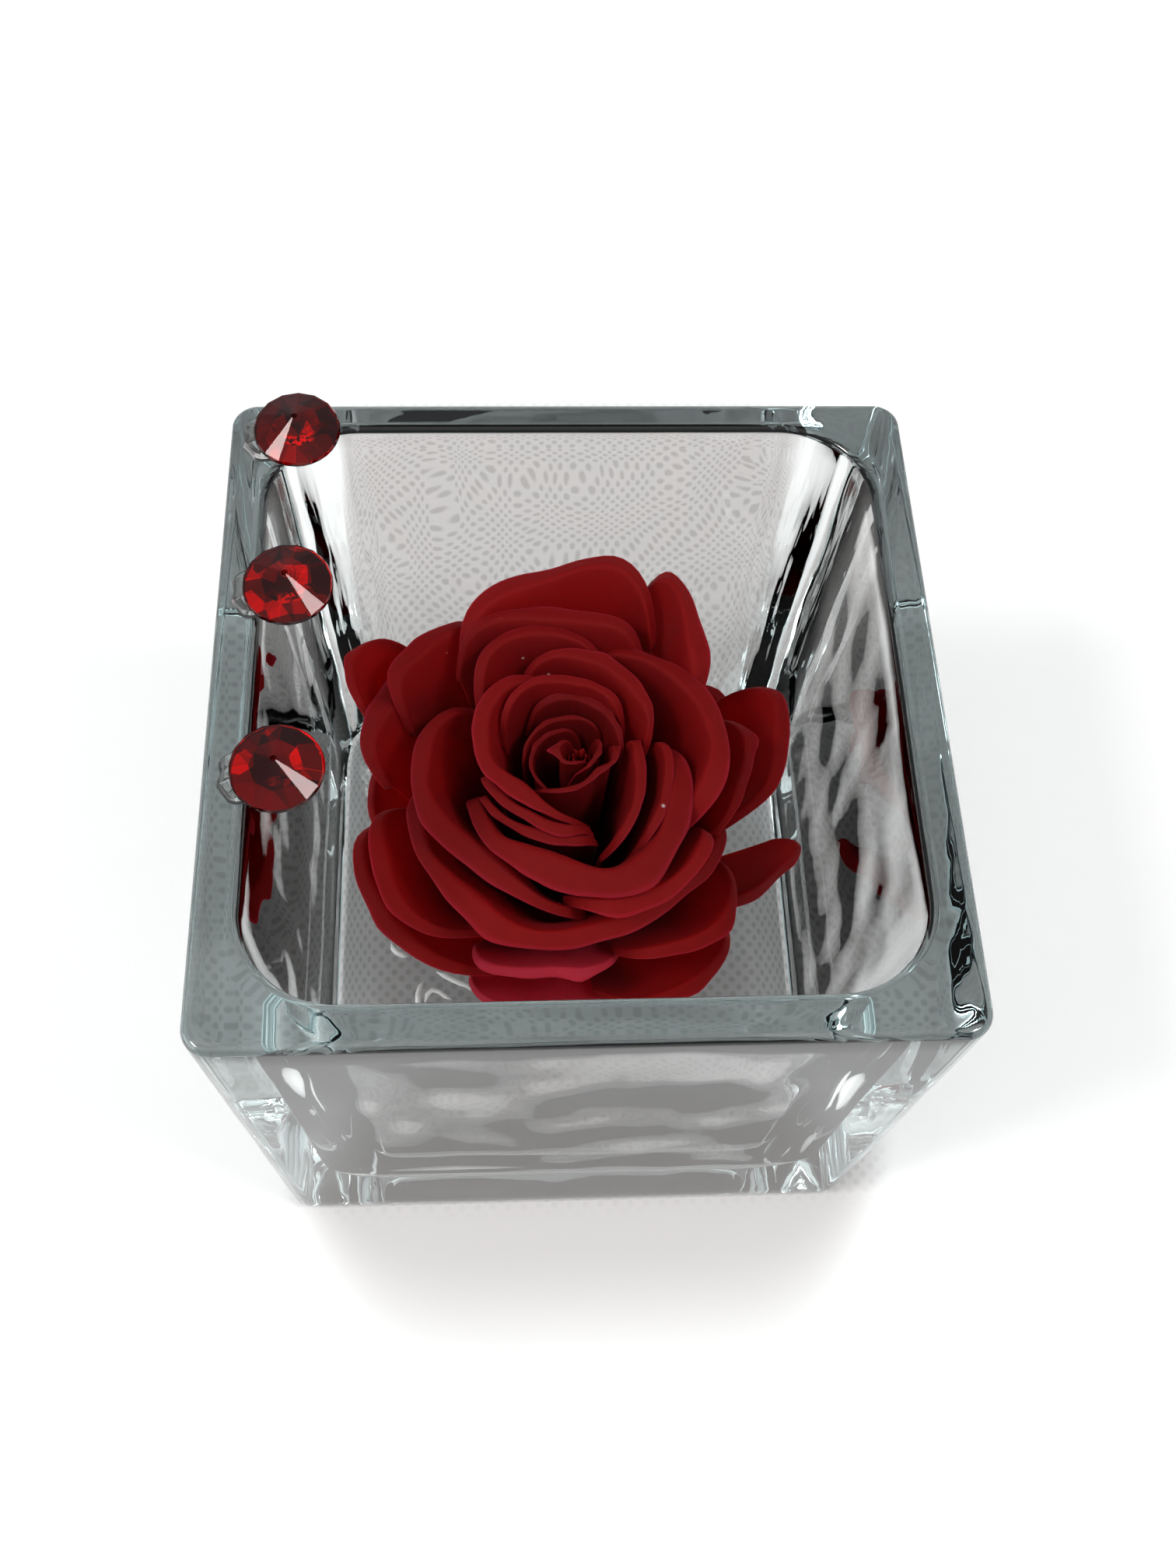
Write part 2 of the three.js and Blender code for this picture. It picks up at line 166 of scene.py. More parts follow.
# Petals, by number, with another frill, with one side lower, and with paler material. Then how many inner
# petals take darker reds as painted shade.
LIP_FRILLS = {31: 1.6, 25: 0.15}
LIP_DIPS = {30: 3.5}
PALE_PETALS = (28, 37)
INNER_PETALS = 6

# The petals, from the heart outwards, as in the solids, but that the lips of petals 3, 4 and 6 are
# 1.4 to 1.8 mm lower here and roll 0.1 mm less. at: compass angle of the petal's middle in degrees.
# half: half its spread. lip: the lip's distance from the axis at five places from the clockwise
# end. top: the lip's height. lean: how far it leans out. tip: the point on the lip, as
# (place across, extra length). curl: how far the lip rolls outwards.
PETALS = [
    dict(at=215, half=100, lip=(1.5, 2.5, 3, 2.4, 1.5), top=40.8, lean=0.3, curl=0.1, tip=(-0.26, 1.8)),
    dict(at=330, half=85, lip=(3.4, 2.9, 2.5, 2.9, 3.3), top=40.2, lean=0.3, curl=0.1, tip=(0.2, 0.4)),
    dict(at=160, half=80, lip=(4.2, 4.7, 5.7, 6.4, 5.6), top=38, lean=0.5, curl=0.1, tip=(0, 0.4)),
    dict(at=115, half=75, lip=(4.9, 5.2, 5.7, 6.6, 7.5), top=39, lean=0.6, curl=0.1, tip=(0.2, 0.4)),
    dict(at=295, half=80, lip=(8.4, 7, 5.1, 5.2, 4.4), top=41.9, lean=0.6, curl=0.2, tip=(0.8, 0.9)),
    dict(at=68, half=76, lip=(6, 5.9, 6.7, 7.8, 8.9), top=41, lean=1, curl=0.2, tip=(-0.2, 0.4)),
    dict(at=-31, half=49, lip=(15.2, 12, 9.4, 8, 7.6), top=41.6, lean=2.2, curl=0.4, tip=(0.8, 0.9)),
    dict(at=98, half=70, lip=(7.6, 8, 9, 10.5, 11), top=43, lean=1.3, curl=0.3, tip=(0.3, 0.4)),
    dict(at=190, half=88, lip=(11.2, 13.6, 12.9, 11, 11.4), top=42.6, lean=2.6, curl=0.5, tip=(0.1, 0.4)),
    dict(at=61, half=65, lip=(9.6, 10.4, 11.6, 12.9, 14.4), top=43.4, lean=2.6, curl=0.4, tip=(0.2, 0.4)),
    dict(at=234, half=46, lip=(13.8, 12.9, 12.4, 12.6, 11.8), top=41.6, lean=2.8, curl=0.4, tip=(0.5, 0.4)),
    dict(at=-26, half=40, lip=(16.6, 14, 12.6, 11.6, 10.8), top=41.4, lean=3, curl=0.3, tip=(-0.5, 0.4)),
    dict(at=110, half=41, lip=(13.8, 15.4, 17.6, 18, 16.8), top=43.4, lean=3.6, curl=0.6, tip=(-0.2, 0.4)),
    dict(at=240, half=42, lip=(14.8, 14, 13.7, 13.5, 12.7), top=40.6, lean=2.8, curl=0.4, tip=(-0.5, 0.4)),
    dict(at=286, half=90, lip=(16.9, 18.1, 20.3, 15.9, 12.8), top=41.2, lean=3.8, curl=1, tip=(0.07, 1)),
    dict(at=24, half=66, lip=(18.4, 18.9, 18.7, 16.8, 16.6), top=41.6, lean=4.6, curl=0.8, tip=(-0.5, 0.5)),
    dict(at=298, half=36, lip=(20.6, 22, 22.4, 21.2, 20.8), top=39, lean=5, curl=0.6, tip=(-0.5, 1.4)),
    dict(at=206, half=66, lip=(18.4, 21.2, 20.9, 20.3, 22.4), top=38.4, lean=5, curl=0.8, tip=(-0.06, 1.2)),
    dict(at=98, half=43, lip=(19.2, 18.6, 19.2, 21.3, 23.2), top=43.6, lean=5, curl=0.6, tip=(0, 0.4)),
    dict(at=0, half=26, lip=(22.2, 21.6, 22.6, 22.6, 20.4), top=36.8, lean=5.4, curl=0.5, tip=(0.3, 1.6)),
    dict(at=260, half=86, lip=(23.4, 23.8, 24.4, 22.2, 23.1), top=34.6, lean=5.6, curl=0.7, tip=(-0.2, 1.8)),
    dict(at=49, half=22, lip=(20.6, 22.2, 25, 28.8, 30.6), top=42, lean=5.8, curl=0.9, tip=(0.7, 0.6)),
    dict(at=140, half=22, lip=(26.4, 26.5, 27.2, 27.8, 26.8), top=38.6, lean=5.8, curl=0.6, tip=(0, 0.4)),
    dict(at=-50, half=28, lip=(25.2, 26, 27.5, 25.6, 22.8), top=28.8, lean=6.6, curl=0.5, tip=(0.1, 1.2)),
    dict(at=97, half=39, lip=(24.4, 27.8, 25.6, 25.2, 24.4), top=44, lean=6, curl=0.8, tip=(-0.5, 0.6)),
    dict(at=209, half=30, lip=(27.4, 28, 28.9, 28.2, 24.6), top=29, lean=6.6, curl=0.5, tip=(0.2, 1)),
    dict(at=12, half=25, lip=(24, 27.2, 29.3, 31, 29.2), top=31.6, lean=7, curl=0.5, tip=(0.5, 0.6)),
    dict(at=259, half=26, lip=(27.4, 26.7, 25.2, 24.6, 24.6), top=25.6, lean=6.8, curl=0.4, tip=(0.4, 1.2)),
    dict(at=160, half=18, lip=(29.2, 28.8, 28.9, 29, 29), top=35, lean=5.4, curl=1.1, tip=(0, 0.4)),
    dict(at=-21, half=14, lip=(25.8, 27.6, 29.4, 31, 32.4), top=25, lean=7.4, curl=0.3, tip=(0.3, 0.4)),
    dict(at=149, half=13, lip=(30, 33.6, 34.6, 33, 30.8), top=35, lean=5.4, curl=0.4, tip=(0.1, 0.8)),
    dict(at=211, half=35, lip=(31.3, 31.1, 30.3, 29.1, 27), top=21.6, lean=7.4, curl=0.6, tip=(0, 0.6)),
    dict(at=42, half=27, lip=(29, 29.2, 28.2, 26.8, 26.2), top=22, lean=7.2, curl=0.5, tip=(0, 0.6)),
    dict(at=-58, half=27, lip=(28, 29, 29.3, 28.5, 26.8), top=19.6, lean=7.4, curl=0.5, tip=(0, 0.6)),
    dict(at=104, half=31, lip=(27, 27, 27, 27.6, 28.4), top=28, lean=6.2, curl=0.5, tip=(0, 0.6)),
    dict(at=152, half=30, lip=(28.6, 29.4, 29.8, 29.8, 29.6), top=17, lean=7.4, curl=0.5, tip=(0, 0.6)),
    dict(at=262, half=28, lip=(29.4, 29, 28.4, 28.6, 29.2), top=17.8, lean=7.4, curl=0.4, tip=(0, 0.6)),
]

# Petal colours: painted shade low on the petal towards its claw, the open body, and where it blushes. Then a
# painted pinkish highlight along the thin edge of a lip, and the dust.
VELVET_REDS = ((0.085, 0.0011, 0.0014), (0.135, 0.0016, 0.0019), (0.185, 0.0026, 0.0036))
# Painted shade: darker reds for the inner petals and the rolled heart, deep in the rose
SHADED_INNER_REDS = ((0.05, 0.0008, 0.0010), (0.10, 0.0012, 0.0015), (0.15, 0.0022, 0.0035))
THIN_REDS = ((0.17, 0.005, 0.010), (0.28, 0.010, 0.020), (0.38, 0.024, 0.050))
LIP_HIGHLIGHT_PINK = (0.26, 0.008, 0.024)
DUST_WHITE = (0.75, 0.62, 0.62)

# The hip's outline from the stem up, as (share of its radius, share of its height), and its ribs
HIP_PROFILE = ((0.02, 0), (0.2, 0), (0.27, 0.03), (0.28, 0.2), (0.36, 0.34), (0.6, 0.52), (0.84, 0.68),
               (0.95, 0.84), (0.96, 0.93), (0.9, 1), (0.5, 0.98), (0.05, 0.98))
HIP_CORNERS = 60
HIP_RIBS = 10
RIB_HEIGHT = 0.035
RIBS_GROW = 3

# The rolled heart: a sheet wound from the inside out, heights above the hip's foot
HEART_TURNS = 2.6
HEART_STARTS = 0.6
HEART_LOW = 20.0
HEART_HIGH = 38.6
HEART_OUTER_DROP = 1.6
HEART_LIP_WAVE = 0.5
HEART_LIP_WAVES = 7
HEART_RADIUS = 0.25
HEART_WINDS_OUT = 1.15
HEART_OPENS = 0.25
HEART_THICKNESS = 0.16
HEART_STEPS = (70, 12)
HEART_BELOW_LIP = 0.9

# The puddle of glue, as (share of its radius, share of its height), and its lobes
BEAD_PROFILE = ((0.05, 0), (0.5, 0), (0.98, 0), (1.06, 0.06), (1.02, 0.2), (0.91, 0.42), (0.76, 0.66),
                (0.6, 0.86), (0.4, 0.97), (0.05, 1))
BEAD_CORNERS = 48
BEAD_LOBES = 0.16

# Threads of glue on the glass floor: points along each in the cube's frame, and its thickness
GLUE_THREADS = (
    (((-25.2, -3.9, 12.3), (-24.9, -4.8, 12.6), (-24.3, -5.5, 12.7), (-23.5, -5.9, 12.6),
      (-22.7, -6, 12.3)), 0.42),
    (((-20.4, -9.8, 12.3), (-20.9, -10.8, 12.6), (-21.2, -11.9, 12.8), (-21.2, -13, 12.7),
      (-20.9, -14.1, 12.3)), 0.42),
    (((-20.3, -13.1, 12.3), (-19.9, -12, 12.8), (-19.2, -11.4, 13), (-18.2, -11.6, 13),
      (-17.3, -12.3, 12.8), (-16.4, -12.6, 12.3)), 0.36),
    (((-18.6, -8.4, 12.3), (-17.4, -9.2, 12.7), (-16.2, -9.9, 12.9), (-15.1, -10.4, 12.8),
      (-14.3, -10.6, 12.6), (-13.4, -11.4, 12.3)), 0.4),
)
THREAD_CORNERS = 10
THREAD_END = 0.25

# Faceted stones: levels as (radius, height, corners, turn), and the height of their backs. Each is
# turned, by a share of one of its facets, so that one long facet mirrors a lamp.
STONE_LEAN = math.radians(4)
STONE_RAISED = 0.35
STONE_BASE = measure("red_stone_1")[2] + STONE_RAISED
STONE_FACETS = 16
CROWN_LEVELS = ((4.75, 0, 32, 0), (5, 0.4, 32, 0), (4.9, 0.85, 16, 0), (0.35, 3.17, 16, 0))
FOIL_LEVELS = ((4.6, 0.1, 16, 0), (2.6, 0.75, 8, 0.5), (0.6, 0.9, 8, 0))
STONE_TURNS = (0.989, 0.531, 0.838)
FACET_FLATNESS = math.radians(0.5)

# The drop of glue under each, as (share of its radius, share of its height). It is wider than its
# solid and reaches lower, and the stone sinks a little into it.
DAB_PROFILE = ((0.05, 0), (0.72, 0), (0.98, 0.12), (1.04, 0.3), (0.96, 0.6), (0.9, 0.88), (0.93, 1),
               (0.05, 1))
DAB_CORNERS = 32
DAB_LOBES = 0.2
DAB_SINK = 0.5
DAB_SPREAD = 1.12
STONE_SINK = 0.04

# How often the lobes of glue come round
LOBES_ROUND = 2.4

# Glass: its green absorption, and where its streaks are in metres: near the back corners, and
# below the rim
ABSORBED_TINT = (0.40, 0.85, 0.86)
ABSORPTION = 3.4
CORNER_STREAKS_FROM = (0.022, 0.031)
STREAKS_END_UP = (0.064, 0.074)
STREAK_STRETCH = (1.0, 1.0, 0.12)

# The camera: where the photograph was taken from, in the cube's frame, in mm and degrees, and the
# nearest thing that it sees, in metres
CAMERA_PLACE = Vector((-8.0, -82.6, 224.6))
CAMERA_DOWN = math.radians(63.71)
CAMERA_TO_RIGHT = math.radians(6.80)
CAMERA_ROLL = math.radians(5.31)
CAMERA_LENS = 35.27
CAMERA_SENSOR = 36
CAMERA_SEES_FROM = 0.01

# The room: its brightness by height, and a darker stretch of ceiling that level faces mirror
ROOM_BY_HEIGHT = (
    (0.0, (0.34, 0.37, 0.38)),
    (0.3, (0.34, 0.37, 0.38)),
    (0.62, (0.62, 0.65, 0.66)),
    (0.9, (1.0, 1.0, 0.99)),
)
DARK_CEILING_AT = (0.05, 0.42, 0.90)
DARK_CEILING = (
    (0.0, (0.12, 0.12, 0.12)),
    (0.3, (0.14, 0.14, 0.14)),
    (0.6, (1.0, 1.0, 1.0)),
)

# The lamps: place, size, power and colour. All face the rose.
LAMPS = {
    "left_lamp": ((-0.529, -0.162, 0.807), (0.185, 0.185), 3.2, (1.0, 0.98, 0.95)),
    "right_lamp": ((0.437, -0.175, 0.827), (0.185, 0.185), 2.9, (1.0, 0.99, 0.97)),
    "window": ((-0.85, -0.30, 0.28), (0.7, 0.4), 4.2, (0.93, 0.97, 1.0)),
}
LAMPS_FACE = Vector((0, 0, 0.05))

# The floor lies just under the cube
FLOOR_HALF_WIDTH = 2.0
FLOOR_DROP = 0.0002
FLOOR_WHITE = (0.88, 0.88, 0.88)
FLOOR_GLOW = 0.12

# The patch of dotted cloth on it: wider towards the back, with a soft edge, and fading out in front of the
# cube. Its soft edge and its plain fade in front of the cube are a painted contact shadow, and its weaker
# glow is painted shade. Its dots stand on the diagonal.
CLOTH_GREY = (0.585, 0.565, 0.56)
DOT_GREY = (0.38, 0.365, 0.36)
CLOTH_GLOW = (0.10, 0.10, 0.10)
CLOTH_MIDDLE = (0.003, 0.034)
CLOTH_HALF_WIDTH = 0.0515
CLOTH_WIDENS = 0.14
CLOTH_HALF_DEPTH = 0.071
CLOTH_FRONT = -0.038
CLOTH_FRONT_SHADOW_FADE = 0.02
CLOTH_SQUARENESS = 6
CLOTH_EDGE = (0.35, 1.6)
DOTS_BEHIND = (-0.042, -0.034)
DOT_EDGE = (0.2, 0.42)
DOT_STRENGTH = 0.7


def set_stops(ramp, stops):
    while len(ramp.elements) < len(stops):
        ramp.elements.new(0.5)
    for element, (place, colour) in zip(ramp.elements, stops):
        element.position = place
        element.color = (*colour, 1)


class Value:
    """A number socket of a shader tree that can be written in sums."""

    def __init__(self, shader, socket):
        self.shader = shader
        self.socket = socket

    def _with(self, operation, *values):
        return self.shader.add("Math", {"operation": operation}, *values)

    def __add__(self, other):
        return self._with("ADD", self, other)

    def __radd__(self, other):
        return self._with("ADD", other, self)

    def __sub__(self, other):
        return self._with("SUBTRACT", self, other)

    def __rsub__(self, other):
        return self._with("SUBTRACT", other, self)

    def __mul__(self, other):
        return self._with("MULTIPLY", self, other)

    def __rmul__(self, other):
        return self._with("MULTIPLY", other, self)

    def __truediv__(self, other):
        return self._with("DIVIDE", self, other)

    def __pow__(self, other):
        return self._with("POWER", self, other)


class Shader:
    """The node tree of a material or of the room. add() makes any node and returns one output."""

    # A colour Mix node has further sockets of the same names, so its own go by number
    MIX_FIRST, MIX_SECOND, MIX_RESULT = 6, 7, 2

    def __init__(self, owner, last_node):
        owner.use_nodes = True
        self.owner = owner
        self.nodes = owner.node_tree.nodes
        self.links = owner.node_tree.links
        self.last = self.nodes[last_node]

    def put(self, socket, value):
        if isinstance(value, Value):
            self.links.new(value.socket, socket)
        elif isinstance(value, tuple) and len(value) == 3 and socket.type == "RGBA":
            socket.default_value = (*value, 1)
        else:
            socket.default_value = value

    def add(self, kind, settings=None, *values, output=0, **named):
        node = self.nodes.new("ShaderNode" + kind)
        for name, setting in (settings or {}).items():
            if name == "stops":
                set_stops(node.color_ramp, setting)
            else:
                setattr(node, name, setting)
        for socket, value in zip(node.inputs, values):
            self.put(socket, value)
        for name, value in named.items():
            self.put(node.inputs[name.replace("_", " ")], value)
        return Value(self, node.outputs[output])

    def mix(self, share, first, second, way="MIX"):
        node = self.nodes.new("ShaderNodeMix")
        node.data_type = "RGBA"
        node.blend_type = way
        self.put(node.inputs["Factor"], share)
        self.put(node.inputs[self.MIX_FIRST], first)
        self.put(node.inputs[self.MIX_SECOND], second)
        return Value(self, node.outputs[self.MIX_RESULT])

    def place(self):
        """Where a point lies on the piece, in metres."""
        return self.add("TexCoord", output="Object")

    def part(self, vector, axis):
        return self.add("SeparateXYZ", None, vector, output=axis)

    def ramp(self, value, ends, low=0.0, high=1.0):
        """Goes evenly from low to high while the value goes from one end to the other."""
        return self.add("MapRange", None, value, *ends, low, high)

    def ease(self, value, ends, low=0.0, high=1.0):
        """As ramp, with a smooth start and stop."""
        return self.add("MapRange", {"interpolation_type": "SMOOTHSTEP"}, value, *ends, low, high)

    def finish(self, **settings):
        for name, value in settings.items():
            self.put(self.last.inputs[name.replace("_", " ")], value)
        return self.owner


def new_shader(name):
    return Shader(bpy.data.materials.new(name), "Principled BSDF")


def new_piece(name, fill, material, replaced=None, smooth=True):
    """Makes a piece from a function that fills a bmesh, in mm, and puts it on the object's body."""
    bm = bmesh.new()
    fill(bm)
    bmesh.ops.transform(bm, matrix=Matrix.Scale(MM, 4), verts=bm.verts)
    for face in bm.faces:
        face.smooth = smooth
    mesh = bpy.data.meshes.new(name)
    bm.to_mesh(mesh)
    bm.free()
    piece = bpy.data.objects.new(name, mesh)
    bpy.context.collection.objects.link(piece)
    mesh.materials.append(material)
    if replaced:
        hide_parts(replaced)
    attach(piece, "root")
    return piece


def stack_rings(bm, rings):
    """Makes a closed body: a thin drum whose top is extruded from ring to ring of points."""
    count = len(rings[0])
    bmesh.ops.create_cone(bm, cap_ends=True, segments=count, radius1=1, radius2=1, depth=2)

    def around(vert):
        return math.atan2(vert.co.y, vert.co.x) % (2 * math.pi)

    low = sorted((vert for vert in bm.verts if vert.co.z < 0), key=around)
    high = sorted((vert for vert in bm.verts if vert.co.z > 0), key=around)
    for vert, point in zip(low + high, rings[0] + rings[1]):
        vert.co = point
    cap = next(face for face in high[0].link_faces if len(face.verts) == count)
    for ring in rings[2:]:
        raised = bmesh.ops.extrude_face_region(bm, geom=[cap])["geom"]
        bmesh.ops.delete(bm, geom=[cap], context="FACES_ONLY")
        cap = next(item for item in raised if isinstance(item, bmesh.types.BMFace))
        high = in_order_of(high, cap.verts)
        for vert, point in zip(high, ring):
            vert.co = point
    bmesh.ops.recalc_face_normals(bm, faces=bm.faces)


def in_order_of(old, fresh):
    """The fresh vertices, in the order of the old ones that they lie on."""

    def spot(vert):
        return tuple(round(part, 4) for part in vert.co)

    found = {spot(vert): vert for vert in fresh}
    return [found[spot(vert)] for vert in old]


def round_ring(radius, height, count, lobes=0.0, centre=(0.0, 0.0)):
    """A level of a round body, with optional low lobes round it."""
    ring = []
    for step in range(count):
        angle = step * 2 * math.pi / count
        round_about = Vector((LOBES_ROUND * math.cos(angle), LOBES_ROUND * math.sin(angle), height))
        reach = radius * (1 + lobes * noise.noise(round_about))
        x, y = centre[0] + reach * math.cos(angle), centre[1] + reach * math.sin(angle)
        ring.append(Vector((x, y, height)))
    return ring


def map_grid(bm, share_up=1):
    """Lays the petals' map over a fresh grid, up to a share of the way to the lip."""
    uv = bm.loops.layers.uv.new("petal")
    for face in bm.faces:
        for loop in face.loops:
            loop[uv].uv = ((loop.vert.co.x + 1) / 2, share_up * (loop.vert.co.y + 1) / 2)


def through(values, place):
    """A smooth value through five evenly spaced ones. place runs from -1 to 1."""
    spot = min(max((place + 1) * 2, 0), 4)
    left = min(int(spot), 3)
    share = spot - left
    a, b, c, d = (values[min(max(left + step, 0), 4)] for step in (-1, 0, 1, 2))
    return b + 0.5 * share * (c - a + share * (2 * a - 5 * b + 4 * c - d + share * (3 * (b - c) + d - a)))


def petal_profile(petal, order, lip_radius, t):
    """Radius and height on the petal's surface, from its claw at t 0 to where its lip rolls at t 1."""
    claw_radius = CLAW_FIRST_RADIUS + CLAW_RADIUS_STEP * order
    claw_height = HIP_HEIGHT + CLAW_LIFT
    lean_radius = lip_radius - petal["lean"]
    lean_height = petal["top"] - LEAN_DROP * petal["lean"] - LEAN_RISE
    shoulder_radius = claw_radius + SHOULDER_OUT * (lean_radius - claw_radius)
    shoulder_height = claw_height + SHOULDER_UP * petal["top"]
    radii = (claw_radius, shoulder_radius, lean_radius, lip_radius)
    heights = (claw_height, shoulder_height, lean_height, petal["top"])
    s = 1 - t
    weights = (s**3, 3 * s * s * t, 3 * s * t * t, t**3)
    radius = sum(w * r for w, r in zip(weights, radii))
    height = sum(w * h for w, h in zip(weights, heights))
    return radius, height


def petal_heading(petal, order, lip_radius, t):
    """Which way the petal's surface runs at t, outwards and up."""
    radius, height = petal_profile(petal, order, lip_radius, t)
    near_radius, near_height = petal_profile(petal, order, lip_radius, t - HEADING_STEP)
    out, rise = radius - near_radius, height - near_height
    length = math.hypot(out, rise)
    return out / length, rise / length


def roll_lip(along, roll, ripple):
    """How far the lip runs on and how far it has turned outwards, along the roll from 0 to 1."""
    turn = LIP_TURN * (1 + LIP_TURN_VARIES * ripple) * min(along / BEND_SHARE, 1)
    flap = FLAP_LENGTH * roll * max(along - BEND_SHARE, 0) / (1 - BEND_SHARE)
    forward = BEND_RADIUS * roll * math.sin(turn) + flap * math.cos(turn)
    outward = BEND_RADIUS * roll * (1 - math.cos(turn)) + flap * math.sin(turn)
    return forward, outward


def wave_round(wave, angle, order, start=0):
    """A petal's own draw of a wave that runs round the rose without a seam."""
    times, apart = wave
    return noise.noise(Vector((times * math.cos(angle), times * math.sin(angle), apart * order + start)))


def petal_point(petal, order, across, up):
    """A point on the petal. The body follows the solid's surface, and the lip folds back outwards."""
    tip_place, tip_length = petal["tip"]
    widening = math.sin(min(up / FULL_WIDTH_FROM, 1) * math.pi / 2)
    place = across * (CLAW_WIDTH_SHARE + (1 - CLAW_WIDTH_SHARE) * widening)
    angle = math.radians(petal["at"] + place * petal["half"])
    sway = wave_round(SWAY, angle, order)
    ripple = wave_round(RIPPLE, angle, order)
    crease = abs(wave_round(CREASE, angle, order, CREASE_START))

    roll = ROLL_PER_CURL * petal["curl"] * (1 - ROLL_FADES * across * across) * (1 + ROLL_VARIES * sway)
    lip_radius = through(petal["lip"], place) - ROLL_REACH * roll
    tip_rise = TIP_GAIN * tip_length * math.exp(-abs(across - tip_place) / TIP_WIDTH)
    edge_drop = EDGE_DROP * abs(across) ** EDGE_DROP_POWER
    length = 1 - edge_drop + (TIP_UP * tip_rise - ROLL_SHORTENS * roll) / (petal["top"] + TIP_ROOM)
    body = min(up / (1 - LIP_SHARE), 1) * length
    radius, height = petal_profile(petal, order, lip_radius, body)
    if up > 1 - LIP_SHARE:
        along = (up - 1 + LIP_SHARE) / LIP_SHARE
        out, rise = petal_heading(petal, order, lip_radius, body)
        forward, outward = roll_lip(along, roll, ripple)
        radius += forward * out + outward * rise + TIP_OUT * tip_rise * along**3
        height += forward * rise - outward * out

    arc = math.radians(petal["at"] + across * petal["half"]) * max(lip_radius, FRILL_LEAST_RADIUS)
    frill = noise.noise(Vector((arc / FRILL_LENGTH, 0, FRILL_DRAW * order)))
    room = WAVE_ROOM + WAVE_ROOM_PER_LEAN * petal["lean"]
    crumple = SWAY_OUT * sway + RIPPLE_OUT * ripple * up**3 + CREASE_IN * (CREASE_LEVEL - crease) * up * up
    radius += room * crumple * up
    height += room * SWAY_UP * (sway + RIPPLE_UP * ripple) * up**4
    height += LIP_FRILLS.get(order + 1, FRILL) * frill * up**8
    height -= LIP_DIPS.get(order + 1, 0) * (1 - across) / 2 * up**3
    return Vector((radius * math.cos(angle), radius * math.sin(angle), height))


def fill_petal(petal, order):
    """Returns a function that makes the petal: a grid laid on its surface, given its thickness."""
    steps_across = max(LEAST_STEPS_ACROSS, round(petal["half"] / DEGREES_PER_STEP))

    def fill(bm):
        bmesh.ops.create_grid(bm, x_segments=steps_across, y_segments=STEPS_UP, size=1)
        map_grid(bm)
        for vert in bm.verts:
            up = ((vert.co.y + 1) / 2) ** STEPS_CROWD_LIP
            vert.co = petal_point(petal, order, vert.co.x, up) + ROSE_CENTRE
        bmesh.ops.recalc_face_normals(bm, faces=bm.faces)
        middle = bm.faces[len(bm.faces) // 2]
        from_axis = middle.calc_center_median() - ROSE_CENTRE
        if middle.normal.dot(Vector((from_axis.x, from_axis.y, 0))) < 0:
            bmesh.ops.reverse_faces(bm, faces=bm.faces)
        bmesh.ops.solidify(bm, geom=bm.faces, thickness=PETAL_THICKNESS)
        bmesh.ops.recalc_face_normals(bm, faces=bm.faces)

    return fill


def fill_heart(bm):
    """The rolled innermost petal: a sheet wound two and a half turns round the axis."""
    steps_round, steps_up = HEART_STEPS
    bmesh.ops.create_grid(bm, x_segments=steps_round, y_segments=steps_up, size=1)
    map_grid(bm, HEART_BELOW_LIP)
    for vert in bm.verts:
        share, up = (vert.co.x + 1) / 2, (vert.co.y + 1) / 2
        angle = share * HEART_TURNS * 2 * math.pi + HEART_STARTS
        radius = HEART_RADIUS + HEART_WINDS_OUT * share + HEART_OPENS * up * up
        lip_wave = HEART_LIP_WAVE * math.sin(HEART_LIP_WAVES * angle)
        height = HEART_LOW + (HEART_HIGH - HEART_LOW - HEART_OUTER_DROP * share + lip_wave) * up
        vert.co = Vector((radius * math.cos(angle), radius * math.sin(angle), height)) + ROSE_CENTRE
    bmesh.ops.recalc_face_normals(bm, faces=bm.faces)
    bmesh.ops.solidify(bm, geom=bm.faces, thickness=HEART_THICKNESS)
    bmesh.ops.recalc_face_normals(bm, faces=bm.faces)


def fill_hip(bm):
    """A short cut stem that swells into a ribbed cup under the petals."""
    rings = []
    for share, rise in HIP_PROFILE:
        ring = round_ring(HIP_RADIUS * share, HIP_HEIGHT * rise, HIP_CORNERS)
        for step, point in enumerate(ring):
            angle = step / HIP_CORNERS * 2 * math.pi
            rib = 1 + RIB_HEIGHT * math.cos(angle * HIP_RIBS) * min(1, RIBS_GROW * rise)
            ring[step] = Vector((point.x * rib, point.y * rib, point.z)) + ROSE_CENTRE
        rings.append(ring)
    stack_rings(bm, rings)


